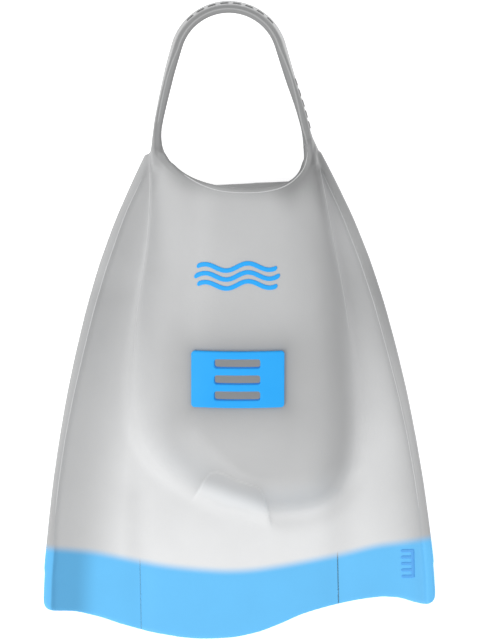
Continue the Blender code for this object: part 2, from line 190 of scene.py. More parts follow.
def nearest_on(path, x, y):
    """Distance to a line of points, the share of its length there, and the side (positive to its left)."""
    a, b = path[:-1], path[1:]
    length = np.hypot(*(b - a).T)
    start = np.concatenate([[0], np.cumsum(length)[:-1]])
    best = np.full(x.shape, 1e9)
    share = np.zeros(x.shape)
    side = np.ones(x.shape)
    for i in range(len(a)):
        ux, uy = (b[i] - a[i]) / length[i]
        px, py = x - a[i, 0], y - a[i, 1]
        along = np.clip(px * ux + py * uy, 0, length[i])
        dx, dy = px - along * ux, py - along * uy
        distance = np.hypot(dx, dy)
        closer = distance < best
        best = np.where(closer, distance, best)
        share = np.where(closer, start[i] + along, share)
        side = np.where(closer, np.sign(ux * py - uy * px), side)
    return best, share / length.sum(), side


# The fin's outlines and heights, against Y unless they say otherwise

axis_x = curve([(96, 1.2), (50, 1.1), (0, 0.9), (-45, 0.65), (-100, 0.3), (-150, 0.0)], 8)
outer_x = curve(
    [
        (100, 45.2), (92, 49.4), (77, 56.8), (56, 66.5), (32, 75.7), (7, 83.4),
        (-18, 89.8), (-42, 95.2), (-67, 99.8), (-91, 103.6), (-116, 106.7), (-140, 109.3), (-156, 110.1),
        (-180, 110.6),
    ],
    5,
)
rail_curve = curve([(96, 2.6), (80, 4.6), (40, 5.6), (-20, 5.2), (-65, 4.2), (-120, 4.2), (-157, 4.8)], 6)
rail_top = curve(
    [(96, 52), (60, 44), (30, 37), (0, 31), (-40, 24.5), (-80, 19.5), (-120, 16), (-165, 14.2)],
    8,
)
web_floor = curve(
    [(96, 49.5), (80, 44.5), (60, 36), (30, 25.5), (0, 19), (-40, 15), (-80, 12.2), (-115, 11.2), (-178, 10)],
    8,
)
crest_height = curve([(100, 87), (73, 79.6), (40, 69.5), (0, 58), (-40, 48.5), (-70, 42.8), (-120, 36)], 8)
crest_x = curve([(96, 14), (48, 15), (10, 17), (-27, 19), (-64, 20), (-120, 20)], 8)
# These two are against X: the blade's front edge, and the border of the blue
blade_front = curve(
    [
        (-112, -160.9), (-103, -161.2), (-92, -161.6), (-78, -165.2), (-67, -169.3), (-50, -174.3),
        (-33, -177.6), (-22, -178.6), (-13, -178.6), (-2, -178.0), (11, -175.3), (23, -170.9), (34, -166.1),
        (45, -162.9), (56, -160.3), (68, -158.1), (80, -156.8), (90, -157.6), (98, -160.4), (105, -162.0),
        (112, -161.4),
    ],
    2.2,
)
dip_edge = curve(
    [
        (-103, -126.2), (-84, -128.0), (-70, -130.9), (-52, -135.1), (-40, -137.3), (-26, -139.1),
        (-8, -140.8), (8, -140.5), (28, -137.8), (58, -132.6), (78, -127.8), (92, -126.7), (108, -124.3),
    ],
    5,
)

# Where the pocket's rear ends, against height
pocket_rear = curve([(0, 76.0), (6, 76.6), (18, 83), (32, 89), (44, 92.4), (60, 96), (90, 100)], 2)

pocket_outline = rounded_path(
    [
        (-40, 130), (-43.4, 104), (-45.2, 92), (-45.6, 68), (-48.4, 38), (-53.4, 12), (-56.6, -16),
        (-57.4, -44), (-55, -64), (-48, -78), (-36, -88.5), (-20, -98), (-3, -105.5), (14, -109.5),
        (34, -110), (51, -106), (62.5, -94), (68, -76), (68.4, -46), (65.6, -18), (62.4, 10), (56.0, 48),
        (51, 77), (48.2, 92), (45.6, 104), (41, 130),
    ],
    rounds=3,
)
mouth_outline = rounded_path(
    [
        (-8, 165), (-26, 146), (-35, 118), (-38.1, 106), (-37.9, 98), (-35.0, 91), (-28.5, 83),
        (-16.5, 76.6), (0, 73.0), (15, 72.2), (27, 73.4), (36.6, 78.5), (40.6, 86), (40.8, 95), (39.4, 104),
        (36, 118), (25, 146), (8, 165),
    ],
    closed=True,
    rounds=3,
)
# Where the fine raised lines round the mouth and on the strap run
RIM_LINE = [
    (-27, 82.2), (-21.5, 78.4), (-15, 74.9), (-8, 72.5), (-0.8, 71.3), (9, 70.7), (17, 70.9), (27, 72.6),
    (34, 76.2), (39.8, 82.1), (42.0, 87.5), (43.0, 93),
]
STRAP_LINE_RIGHT = [
    (43.0, 94.2), (42.4, 100), (40.9, 105.6), (39.4, 112), (37.7, 121.9), (36.1, 128.9), (34.2, 136),
    (31, 145),
]
STRAP_LINE_LEFT = [(-31, 146), (-34.1, 137.3), (-36.0, 130.3), (-37.5, 124), (-39, 117), (-40.4, 110)]


def share_curve(*points):
    """A curve against the share of the pocket's outline, from the left heel round the toes to the right."""
    return curve(points, 0.02, 0.004)


# How wide the vault's flank is, and how sharply it turns into the top
flank_width = share_curve(
    (0, 30), (0.12, 42), (0.3, 52), (0.4, 34), (0.48, 20), (0.56, 24), (0.63, 31), (0.72, 34), (0.85, 32),
    (1, 28),
)
flank_power = share_curve((0, 2.6), (0.3, 3.0), (0.45, 2.2), (0.55, 2.1), (0.65, 2.5), (0.85, 2.6), (1, 2.6))

# The strap: half its thickness, how it leans out at the back, its middle's height and how much higher
# that is at the back, and the arch round the heel that joins its two straight sides
STRAP_HALF = 2.5
STRAP_LEAN = 0.12
STRAP_HEIGHT = 47.5
STRAP_RISE = 3.5
STRAP_ARCH_RADIUS = 30.2
STRAP_ARCH_Y = 144.8
STRAP_ARCH_ANGLE = 18
STRAP_FOOT_Y = 84
# The left side is mirrored: its X values are the distances from the middle
STRAP_LEFT = [(39.6, 84), (40.9, 98), (40.9, 104.2), (39.7, 112), (37.1, 123.8), (33.2, 139.4), (28.7, 154.1)]
STRAP_RIGHT = [(45.2, 84), (43.5, 98.5), (42.1, 106.4), (41, 110.3), (39.2, 118), (34.3, 134), (28.7, 154.1)]


def on_arch(radius, angles):
    """Points on an arch round the heel."""
    return [(radius * math.cos(t), STRAP_ARCH_Y + radius * math.sin(t)) for t in angles]


def strap_side(points):
    smooth_x = curve([(y, x) for x, y in points], 3)
    arch_start = STRAP_ARCH_Y + STRAP_ARCH_RADIUS * math.sin(math.radians(STRAP_ARCH_ANGLE))
    return [(float(smooth_x(y)), y) for y in np.linspace(STRAP_FOOT_Y, arch_start, 30)]


def strap_line():
    """The strap's middle line in plan, from its right root round the heel to its left root."""
    angles = np.radians(np.linspace(STRAP_ARCH_ANGLE, 180 - STRAP_ARCH_ANGLE, 41))[1:-1]
    left = [(-x, y) for x, y in reversed(strap_side(STRAP_LEFT))]
    return np.array(strap_side(STRAP_RIGHT) + on_arch(STRAP_ARCH_RADIUS, angles) + left)


def rail_width(x, y):
    """The left rail is the narrower one, down to the tip."""
    return rail_curve(y) - np.where(x < 0, 1.3, 0.3) * ramp(y, -135, -105) * ramp(-y, -86, -60)


def vault_top(x, y):
    """The instep's top, before its flanks fall away."""
    off = x - crest_x(y)
    drop = np.where(off < 0, 9.0 * (off / 70) ** 2, 6.0 * (off / 40) ** 2)
    return crest_height(y) - drop


def across(x, y):
    """Distance from the fin's own middle line, which drifts from the CAD's by a millimetre."""
    return np.abs(x - axis_x(y))


def inside_rail(x, y):
    """Distance inward from the rail's inner edge, negative on the rail."""
    return outer_x(y) - rail_width(x, y) - across(x, y)


def web_height(x, y):
    """Top of the webs and the blade: they curve up beside the rails, which stand a little proud of them."""
    base = web_floor(y)
    proud = np.where(x < 0, 1.3, 2.6 - 1.5 * ramp(-y, 70, 125))
    rise = rail_top(y) - proud - base
    to_rail = np.clip(inside_rail(x, y), 0, None)
    reach = np.where(x < 0, 30.0, 22.0)
    lift = rise * np.clip(1 - to_rail / reach, 0, 1) ** 2
    valley = ramp(-y, 60, 110) * bell(np.abs(x), SLIT_X, 7)
    crown = 1.6 * ramp(-y, 70, 120) * (1 - np.clip(np.abs(x) / SLIT_X, 0, 1) ** 2)
    return base + lift + crown - valley


# The rib before the toes: a point on the crease across it, the crease's direction, and the rib's outline
RIB_START = np.array([-19.0, -96.5])
RIB_ALONG = np.array([35.6, -13.3]) / math.hypot(35.6, 13.3)
rib_outline = rounded_path(
    [
        (-17.8, -87.4), (-12.4, -84.0), (-5.3, -86.4), (0.5, -89.8), (6, -91.6), (12.8, -94.2), (15.2, -100),
        (16.8, -107), (19.2, -117), (21, -126), (-36, -112), (-31, -108), (-24.4, -99.6),
    ],
    closed=True,
    rounds=2,
)


def rib_front(x, y):
    """Distance in front of the crease that parts the rib's rolled top from its foot."""
    return (x - RIB_START[0]) * RIB_ALONG[1] - (y - RIB_START[1]) * RIB_ALONG[0]


def rib_lift(x, y):
    """How far the brace in front of the toes stands proud of the toe wall and the blade."""
    front = rib_front(x, y)
    return (1.4 + 1.0 * ramp(front, -12, -3)) * (1 - ramp(front, -2.0, 9.0)) - 0.5 * ramp(front, 7, 12)


def fillet_size(x, y):
    """Rounding between the pocket and the webs: tight at the heel and broadest at the toes' left."""
    return 2.0 + (3.5 + 4.0 * ramp(-x, -15, 15)) * ramp(-y, -60, 60)


def pocket_depth(x, y):
    """Distance inward from the pocket's outline in plan, and the share of the outline that is nearest."""
    distance, share, side = nearest_on(pocket_outline, x, y)
    return distance * side, share


def vault_height(x, y, inward, share):
    """The instep's surface. It rises from the webs and drops steeply outside the outline."""
    crease = web_floor(y)
    depth = np.clip(inward / flank_width(share), 0, 1)
    rise = 1 - (1 - depth) ** flank_power(share)
    return crease + (vault_top(x, y) - crease) * rise + np.minimum(inward, 0) * 2.0


def surface_fields(x, y):
    """Every height and plan distance that the field needs, on a grid in plan."""
    inward, share = pocket_depth(x, y)
    vault = vault_height(x, y, inward, share)
    web = web_height(x, y)
    strap, along, facing = nearest_on(strap_line(), x, y)
    return {
        "inward": inward,
        "web": web,
        "vault": vault,
        "rib": smooth_max(vault, web, fillet_size(x, y)) + rib_lift(x, y),
        "rib_edge": polygon_distance(rib_outline, x, y),
        "mouth": polygon_distance(mouth_outline, x, y),
        "strap": -strap * facing,
        "along": along,
    }


def polygon_distance(outline, x, y):
    """Signed distance to a closed outline, negative inside."""
    closed = np.vstack([outline, outline[:1]])
    distance, _, _ = nearest_on(closed, x, y)
    inside = np.zeros(x.shape, bool)
    for (ax, ay), (bx, by) in zip(closed[:-1], closed[1:]):
        crosses = (ay > y) != (by > y)
        with np.errstate(divide="ignore", invalid="ignore"):
            at = (bx - ax) * (y - ay) / (by - ay) + ax
        inside ^= crosses & (x < at)
    return np.where(inside, -distance, distance)


def slope_of(height, step):
    """How much longer a step along the surface is than in plan."""
    gx, gy = np.gradient(height, step)
    return np.sqrt(1 + gx * gx + gy * gy)


def rounded_bar(sideways, upright, radius):
    """The field of a bar whose section is a rounded rectangle, from its two signed half distances."""
    outside = np.sqrt(np.maximum(sideways + radius, 0) ** 2 + np.maximum(upright + radius, 0) ** 2)
    return outside + np.minimum(np.maximum(sideways, upright) + radius, 0) - radius


def as_layer(a):
    """A value in plan, ready to be combined with values against height."""
    return a.astype(np.float32)[:, :, None]


def strap_field(s, y, z):
    back = np.sin(math.pi * np.clip(s["along"], 0, 1)) ** 2
    middle = as_layer(STRAP_HEIGHT + STRAP_RISE * back)
    half_height = as_layer(9.6 + 1.4 * back)
    half = as_layer(STRAP_HALF + 1.1 * ramp(-y, -108, -93))
    leaning = as_layer(s["strap"]) + as_layer(STRAP_LEAN * back) * (z - middle)
    strap = rounded_bar(np.abs(leaning) - half, np.abs(z - middle) - half_height, 1.6)
    return smooth_max(strap, as_layer(STRAP_FOOT_Y + 2 - y), 2.0)


def rail_field(x, y, z):
    half = rail_width(x, y) / 2
    sideways = np.abs(across(x, y) - outer_x(y) + half) - half
    middle = as_layer(rail_top(y) - RAIL_HALF_HEIGHT)
    return rounded_bar(as_layer(sideways) * 0.97, (np.abs(z - middle) - RAIL_HALF_HEIGHT) * 0.95, 1.0)


def pocket_field(s, x, y, z, above, cavity):
    """The foot pocket, with the strap grown out of it."""
    inward = as_layer(s["inward"])
    rear = pocket_rear(z[0, 0])[None, None, :].astype(np.float32) + as_layer(0.03 * x)
    pocket = smooth_max(smooth_max(above, -inward, 1.2), -z, 1.6)
    pocket = smooth_max(pocket, (as_layer(y) - rear) * 0.9, 1.6 + 5.0 * ramp(-z, -30, -12))
    pocket = smooth_max(pocket, -cavity, 1.2)
    return smooth_min(pocket, strap_field(s, y, z), 5.0)


def plate_field(s, x, y, z, step):
    """The webs, the blade and the rails."""
    web = as_layer(s["web"])
    slope = as_layer(slope_of(s["web"], step))
    plate = smooth_max((z - web) / slope, (web - WEB - z) / slope, 0.8)
    plate = smooth_max(plate, as_layer(s["inward"]) - 2.5, 1.0)
    plate = smooth_max(plate, as_layer(across(x, y) - outer_x(y) + 0.8), 1.0)
    plate = smooth_min(plate, rail_field(x, y, z), 3.0)
    return smooth_max(plate, as_layer(y - WEB_REAR + 0.005 * x), 0.7)


def rib_field(s, z, cavity, step):
    """The rib before the toes."""
    rib = as_layer(s["rib"])
    field = smooth_max((z - rib) / as_layer(slope_of(s["rib"], step)), as_layer(s["rib_edge"]) * 0.9, 1.3)
    return np.maximum(smooth_max(field, RIB_BOTTOM - z, 1.0), -cavity)


def front_field(xs, x, y, step):
    """The blade's front edge, with rounded outer corners."""
    slope = as_layer(np.sqrt(1 + np.gradient(blade_front(xs), step)[:, None] ** 2 + 0 * y))
    front = as_layer(blade_front(x) - y) / slope
    corner = as_layer(across(x, y) - outer_x(y) - 0.2 - 90 * ramp(y, -140, -100))
    return smooth_max(corner, front, 7.0)


def bead_field(mouth, y, z, above):
    """The bead round the mouth's front half."""
    radius, bottom, rear = 1.4, 30, 88
    bead = np.sqrt(np.maximum(mouth - 0.9, 0) ** 2 + (above + 0.7) ** 2) - radius
    bead = smooth_max(smooth_max(bead, as_layer(y - rear), 3.0), bottom - z, 2.0)
    return smooth_max(bead, -mouth - 0.4, 0.8)


def groove_field(s, y, z):
    """The grip grooves across the sole."""
    start, pitch = -86, 14
    half, depth, margin = 1.6, 1.4, 6
    turn = (y - start) / pitch
    wave = np.abs(turn - np.round(turn)) * pitch - half
    groove = smooth_max(as_layer(wave), z - depth, 1.0)
    return smooth_max(groove, as_layer(margin - s["inward"]), 1.0)


def moulding_field(xs, ys, zs):
    """The silicone moulding as a field on the grid: below 0 inside the silicone."""
    x, y = np.meshgrid(xs, ys, indexing="ij")
    s = surface_fields(x, y)
    step = xs[1] - xs[0]
    z = zs[None, None, :].astype(np.float32)
    mouth = as_layer(s["mouth"])
    above = (z - as_layer(s["vault"])) / as_layer(slope_of(s["vault"], step))
    cavity = smooth_max(smooth_max(WALL - as_layer(s["inward"]), above + SHELL, 7.0), SOLE_TOP - z, 3.0)

    pocket = pocket_field(s, x, y, z, above, cavity)
    body = smooth_min(pocket, plate_field(s, x, y, z, step), as_layer(fillet_size(x, y)))
    body = smooth_min(body, rib_field(s, z, cavity, step), 0.5)
    body = smooth_max(body, front_field(xs, x, y, step), 1.4)

    body = smooth_max(body, -smooth_max(mouth, MOUTH_BOTTOM - z, 2.0), 1.8)
    body = smooth_min(body, bead_field(mouth, y, z, above), 1.6)
    beside_x = as_layer(np.abs(x - BADGE_CENTRE[0]) - WINDOW_HALF[0])
    beside_y = as_layer(np.abs(y - BADGE_CENTRE[1]) - WINDOW_HALF[1])
    window = smooth_max(smooth_max(beside_x, beside_y, 3.0), WINDOW_BOTTOM - z, 1.0)
    body = smooth_max(body, -window, 1.0)
    return smooth_max(body, -groove_field(s, y, z), 0.8)


# Meshing the field

# A grid cell's corners and edges
CORNERS = [(i, j, k) for i in (0, 1) for j in (0, 1) for k in (0, 1)]
EDGES = [(a, b) for a in CORNERS for b in CORNERS if a < b and sum(abs(p - q) for p, q in zip(a, b)) == 1]


def surface_net(field, origin, step):
    """Quads along the field's zero level, one vertex for each grid cell that the surface crosses."""
    inside = field < 0
    shape = tuple(n - 1 for n in field.shape)
    count = np.zeros(shape, np.int8)
    for i, j, k in CORNERS:
        count += inside[i : i + shape[0], j : j + shape[1], k : k + shape[2]]
    cells = np.argwhere((count > 0) & (count < 8))
    index = np.full(shape, -1, np.int32)
    index[tuple(cells.T)] = np.arange(len(cells))
    total = np.zeros((len(cells), 3), np.float64)
    crossings = np.zeros(len(cells))
    at = {c: field[cells[:, 0] + c[0], cells[:, 1] + c[1], cells[:, 2] + c[2]] for c in CORNERS}
    for a, b in EDGES:
        fa, fb = at[a], at[b]
        crossed = (fa < 0) != (fb < 0)
        t = np.where(crossed, fa / np.where(fa == fb, 1, fa - fb), 0)
        point = np.array(a) + t[:, None] * (np.array(b) - np.array(a))
        total += point * crossed[:, None]
        crossings += crossed
    points = cells + total / crossings[:, None]

    quads = []
    for axis in range(3):
        u, v = (axis + 1) % 3, (axis + 2) % 3
        low, high = [slice(1, -1)] * 3, [slice(1, -1)] * 3
        low[axis], high[axis] = slice(0, -1), slice(1, None)
        start, end = inside[tuple(low)], inside[tuple(high)]
        for sign in (True, False):
            hit = np.argwhere((start == sign) & (end == (not sign)))
            hit[:, u] += 1
            hit[:, v] += 1
            corners = []
            for du, dv in ((1, 1), (0, 1), (0, 0), (1, 0)):
                cell = hit.copy()
                cell[:, u] -= du
                cell[:, v] -= dv
                corners.append(index[tuple(cell.T)])
            quad = np.stack(corners, axis=1)
            quads.append(quad if sign else quad[:, ::-1])
    points, normals = settle(field, points)
    return points * step + origin, np.concatenate(quads), normals


def sampled(field, points):
    """The field's value and gradient between its samples, at points given in grid units."""
    cell = np.clip(points.astype(int), 1, np.array(field.shape) - 3)
    t = points - cell
    value = np.zeros(len(points))
    slope = np.zeros((len(points), 3))
    for i, j, k in CORNERS:
        near = [t[:, axis] if corner else 1 - t[:, axis] for axis, corner in enumerate((i, j, k))]
        weight = near[0] * near[1] * near[2]
        a, b, c = cell[:, 0] + i, cell[:, 1] + j, cell[:, 2] + k
        value += weight * field[a, b, c]
        slope[:, 0] += weight * (field[a + 1, b, c] - field[a - 1, b, c]) / 2
        slope[:, 1] += weight * (field[a, b + 1, c] - field[a, b - 1, c]) / 2
        slope[:, 2] += weight * (field[a, b, c + 1] - field[a, b, c - 1]) / 2
    return value, slope


def settle(field, points):
    """Moves the net's points onto the field's zero level, and returns them with their unit normals."""
    value, slope = sampled(field, points)
    push = value[:, None] * slope / np.maximum((slope**2).sum(axis=1), 0.05)[:, None]
    points = points - np.clip(push, -0.4, 0.4)
    _, slope = sampled(field, points)
    return points, slope / np.maximum(np.linalg.norm(slope, axis=1), 1e-9)[:, None]


def grid_axis(low, high, step):
    """Sample positions from low to high, with a few to spare at both ends."""
    return np.arange(low - 2.5 * step, high + 3.5 * step, step)


def silicone_mesh():
    low, high = (np.array(c) / MM for c in CAD_BOUNDS)
    xs, ys, zs = (grid_axis(a, b, GRID) for a, b in zip(low, high))
    field = moulding_field(xs, ys, zs).astype(np.float32)
    return surface_net(field, np.array([xs[0], ys[0], zs[0]]), GRID)


# Blender objects


def net_mesh(name, points, quads, normals):
    """A mesh from some of the net's quads, which keeps the field's normals for set_normals."""
    used, index = np.unique(quads, return_inverse=True)
    index = index.ravel().astype(np.int32)
    mesh = bpy.data.meshes.new(name)
    mesh.vertices.add(len(used))
    mesh.vertices.foreach_set("co", (points[used] * MM).ravel())
    mesh.loops.add(len(index))
    mesh.loops.foreach_set("vertex_index", index)
    mesh.polygons.add(len(index) // 4)
    mesh.polygons.foreach_set("loop_start", np.arange(0, len(index), 4, dtype=np.int32))
    mesh.update(calc_edges=True)
    stored = mesh.attributes.new("surface_normal", "FLOAT_VECTOR", "POINT")
    stored.data.foreach_set("vector", normals[used].ravel())
    return mesh


def trim(mesh, cuts):
    """Cuts the mesh at planes given as (axis, place, side that goes), and closes it there.

    The closing faces have material index 1 until set_normals has found them.
    """
    shape = bmesh.new()
    shape.from_mesh(mesh)
    for face in shape.faces:
        face.material_index = 0
    for axis, place, side in cuts:
        point, normal = Vector(), Vector()
        point[axis], normal[axis] = place, side
        cut = bmesh.ops.bisect_plane(
            shape,
            geom=list(shape.verts) + list(shape.edges) + list(shape.faces),
            dist=1e-7,
            plane_co=point * MM,
            plane_no=normal,
            clear_outer=True,
        )
        edges = [e for e in cut["geom_cut"] if isinstance(e, bmesh.types.BMEdge) and e.is_boundary]
        filled = bmesh.ops.triangle_fill(shape, edges=edges, normal=normal, use_beauty=True)
        for face in filled["geom"]:
            if isinstance(face, bmesh.types.BMFace):
                face.material_index = 1
    shape.to_mesh(mesh)
    shape.free()


def read(items, key, width=1, kind=np.int32):
    """A value of every item, or a row of them."""
    values = np.empty(len(items) * width, kind)
    items.foreach_get(key, values)
    return values.reshape(-1, width) if width > 1 else values


def set_normals(mesh):
    """Gives the skin its field's normals, and the flat cut faces their own."""
    normals = read(mesh.attributes["surface_normal"].data, "vector", 3, float)
    corner = normals[read(mesh.loops, "vertex_index")]
    flat = read(mesh.polygons, "material_index")
    if flat.any():
        sizes = read(mesh.polygons, "loop_total")
        face_normals = read(mesh.polygon_normals, "vector", 3, np.float32)
        is_flat = np.repeat(flat, sizes) == 1
        corner[is_flat] = np.repeat(face_normals, sizes, axis=0)[is_flat]
        mesh.polygons.foreach_set("material_index", np.zeros_like(flat))
    mesh.shade_smooth()
    mesh.normals_split_custom_set(corner)
    mesh.attributes.remove(mesh.attributes["surface_normal"])


def add_object(name, mesh, material):
    obj = bpy.data.objects.new(name, mesh)
    bpy.context.scene.collection.objects.link(obj)
    mesh.materials.clear()
    mesh.materials.append(material)
    return obj


def positions(mesh):
    """The mesh's points in millimetres, as three arrays."""
    return (read(mesh.vertices, "co", 3, float) / MM).T


def store(mesh, **layers):
    """Keeps values on the mesh's points, where the materials read them."""
    for label, values in layers.items():
        layer = mesh.attributes.new(label, "FLOAT", "POINT")
        layer.data.foreach_set("value", values.astype(np.float32))


def dip_share(x, y):
    """1 in the blue silicone, 0 in the grey, with a soft border."""
    return ramp(dip_edge(x) - y, -3.0, 3.0)


# The silicone is milky: greyer where it is thick, and greyer over the pocket as painted shade of the dark
# pocket behind it. The tones are against
# Y, and one turns into the other from tone_start to tone_end inside the pocket's outline.
blade_tone = curve(
    [(100, 0.55), (60, 0.56), (20, 0.6), (-20, 0.66), (-60, 0.735), (-100, 0.8), (-140, 0.86), (-180, 0.86)],
    8,
)
pocket_tone = curve(
    [(100, 0.42), (80, 0.48), (60, 0.54), (20, 0.56), (-30, 0.53), (-60, 0.55), (-80, 0.56), (-180, 0.57)],
    8,
)
tone_start = share_curve((0, 0), (0.36, -1), (0.42, -6), (0.5, -3), (0.6, -1), (1, -3))
tone_end = share_curve((0, 18), (0.3, 26), (0.38, 18), (0.45, 9), (0.5, 8), (0.6, 9), (1, 6))
# Painted shade on the webs beside the left and the right rail: how much darker they are, and how far that
# reaches on the left
left_rail_painted_shade = curve(
    [(100, 0.12), (56, 0.16), (22, 0.18), (-11, 0.2), (-56, 0.26), (-100, 0.34), (-180, 0.36)], 8
)
right_rail_painted_shade = curve([(100, 0.32), (43, 0.20), (-11, 0.22), (-56, 0.34), (-100, 0.42), (-180, 0.42)], 8)
rail_reach = curve([(100, 8), (56, 15), (22, 23), (-11, 29), (-56, 35), (-100, 38), (-180, 38)], 8)
# Width of the band round the mouth that has the strap's tone
rim_band = curve([(66, 1.8), (74, 2.0), (80, 2.6), (88, 4.2), (94, 5.6), (100, 7.0), (110, 9.0)], 3)



def darker(tone, share, *masks):
    """The tone made darker by a share of it where every mask is 1, or lighter with a negative share."""
    for mask in masks:
        share = share * mask
    return tone * (1 - share)


def pocket_tone_and_painted_light(x, y, inward, share):
    """The tone of the blade and of the pocket in it, with the rib's rolled top, a painted shadow at its foot
    and a painted highlight along its edge.
    """
    over_pocket = ramp(inward, tone_start(share), tone_end(share))
    rib = polygon_distance(rib_outline, x, y)
    proud = 1 - ramp(rib_front(x, y), -2.0, 9.0)
    over_rib = 1.35 * ramp(-rib_front(x, y), -1.0, 9.5)
    over_pocket = over_pocket + (over_rib - over_pocket) * ramp(-rib, -0.4, 0.8) * np.sqrt(proud)
    tone = blade_tone(y) + (pocket_tone(y) - blade_tone(y)) * over_pocket
    behind = ramp(x - 0.4 * y, -26, -2) * proud
    # Painted shadow of the rib just outside its upper and right edges
    tone = darker(tone, 0.13, np.exp(-np.clip(rib, 0, None) / 4.5), ramp(rib, -0.3, 0.6), behind)
    # Painted highlight along the rib's edge
    return darker(tone, -0.09, bell(rib, -0.4, 0.7), proud)


def rail_painted_shades(tone, x, y):
    """Painted shade on the webs beside the rails. The left rail is as dark, the right one darker toward the
    heel, also as painted shade.
    """
    inside = inside_rail(x, y)
    left = left_rail_painted_shade(y) * (1 - np.clip(inside / rail_reach(y), 0, 1) ** 2.2)
    # Painted shade on the left rail itself
    left = left * (1 + 0.15 * ramp(-inside, -0.5, 0.7))
    reach = 9.0 + 5.0 * ramp(-y, 60, 110)
    right = right_rail_painted_shade(y) * np.exp(-((np.clip(inside, 0, None) / reach) ** 1.2))
    tone = tone * (1 - np.where(x < 0, left, right))
    # Painted shade on the right rail itself, toward the heel
    return darker(tone, 0.30, ramp(x, 0, 10), ramp(-inside, -0.3, 0.7), ramp(y, -60, 20))


def flank_painted_light(tone, x, y, inward):
    """Painted shade and painted light at the creases at the foot of the pocket's flanks, and on the flanks
    beside the toes and the mouth.
    """
    # Painted shade in the crease at the right, near the strap's root
    tone = darker(tone, 0.06, ramp(x, 44, 48), ramp(y, 78, 86))
    # Painted light in the crease at the foot of the right flank, toward the heel
    tone = darker(tone, -0.26, ramp(x, 40, 49), ramp(y, 10, 50), ramp(-inward, -4, 1))
    beside_toes = ramp(-y, -70, -50) * ramp(y, -95, -80)
    # Painted shade on the right flank beside the toes
    tone = darker(tone, 0.12, bell(inward, 11, 7), ramp(x, 25, 35), beside_toes)
    # Painted light in the crease at the foot of the left flank, toward the heel
    tone = darker(tone, -0.09, ramp(-x, 38, 46), ramp(-inward, -2, 2), ramp(y, 10, 30))
    # Painted shade on the blade just in front of the toes, on the right
    tone = darker(tone, 0.08, bell(inward, -4, 5), ramp(x, 12, 28), ramp(-y, 85, 100))
    # Painted shade in the valleys before the slits, darker on the right
    before_slits = bell(np.abs(x), 58, 8) * ramp(-y, 84, 100)
    return darker(tone, np.where(x > 0, 0.10, 0.06), before_slits)


def strap_tone_with_painted_highlights(x, y, z):
    """The strap's grey, with painted highlights: a lighter line along its middle, and a light outer edge."""
    offset, along, facing = nearest_on(strap_line(), x, y)
    out = -offset * facing + STRAP_LEAN * np.sin(math.pi * along) ** 2 * (z - 50)
    return 0.29 + 0.05 * bell(out, -0.2, 1.1) + 0.14 * ramp(out, 1.7, 2.4)


def silicone_tone(x, y, z):
    """Share of white in the silicone's colour, with painted shade, shadow and highlights in it."""
    inward, share = pocket_depth(x, y)
    tone = pocket_tone_and_painted_light(x, y, inward, share)
    tone = rail_painted_shades(tone, x, y)
    tone = flank_painted_light(tone, x, y, inward)

    # Painted shadow round the badge
    to_badge = rounded_box(x - BADGE_CENTRE[0], y - BADGE_CENTRE[1], BADGE_SIZE[0] / 2, BADGE_SIZE[1] / 2, 0)
    tone = darker(tone, 0.31, np.exp(-np.maximum(to_badge, 0) / 10.0), ramp(z, 20, 30))
    # Painted shade along the mouth's edge, broader toward the sides
    rim = np.maximum(polygon_distance(mouth_outline, x, y), 0)
    sideways = ramp(np.abs(x - 4), 12, 30)
    tone = darker(tone, 0.20 + 0.12 * sideways, bell(rim, 0, 4.5 + 2.5 * sideways))
    # Painted shade on the instep to the right of the mouth
    tone = darker(tone, 0.27, ramp(x, 20, 36), ramp(y, 52, 82), ramp(inward, 0, 3))

    band = rim_band(y)
    round_mouth = (0.35 + 0.65 * ramp(y, 78, 92)) * ramp(-rim, -band - 0.9, -band + 0.6)
    strap = np.maximum(ramp(y, 99, 108), round_mouth)
    return tone + (strap_tone_with_painted_highlights(x, y, z) - tone) * strap


def blue_painted_shade(x, y):
    """How much darker the blue is, as painted shade beside the rails and on the slits' edges. The rails are
    lighter, as a painted highlight.
    """
    inside = outer_x(y) - across(x, y)
    left = 0.27 * (1 - ramp(inside, 17.0, 31.0)) * ramp(inside, 3.4, 5.0) - 0.12 * ramp(-inside, -5.0, -3.4)
    right = 0.07 * (1 - ramp(inside, 6.0, 16.0)) * ramp(inside, 3.6, 5.4) - 0.12 * ramp(-inside, -5.4, -3.6)
    shade = np.where(x < 0, left, right)
    on_slit = (y < SLIT_START) * (np.abs(np.abs(x) - SLIT_X) < 0.2)
    return 1 - (1 - shade) * (1 - np.where(x > 0, 0.85, 0.36) * on_slit)


# Materials

BLACK = (0, 0, 0, 1)
PURE_WHITE = (1, 1, 1, 1)
SILICONE_WHITE = (0.985, 0.993, 1.0, 1)
SILICONE_BLUE = (0.142, 0.565, 1.0, 1)
BADGE_BLUES = ((0.02, 0.40, 0.96, 1), (0.03, 0.43, 0.98, 1))
LADDER_BLUES = ((0.085, 0.39, 0.86, 1), (0.10, 0.42, 0.90, 1))
FLOOR_WHITES = ((0.93, 0.93, 0.93, 1), (0.95, 0.95, 0.95, 1))
# Strength of the painted glow on the pocket's inner faces
PAINTED_GLOW_STRENGTH = 0.12


def principled(name, roughness):
    material = bpy.data.materials.new(name)
    material.use_nodes = True
    shader = material.node_tree.nodes["Principled BSDF"]
    shader.inputs["Roughness"].default_value = roughness
    return material, material.node_tree, shader


def feed(tree, socket, value):
    """Links a socket to another one, or sets it to a value."""
    if isinstance(value, bpy.types.NodeSocket):
        tree.links.new(value, socket)
    else:
        socket.default_value = value


def node(tree, kind, **inputs):
    """A new node with its inputs fed. An underscore stands for the space in an input's name."""
    made = tree.nodes.new(kind)
    for key, value in inputs.items():
        feed(tree, made.inputs[key.replace("_", " ")], value)
    return made


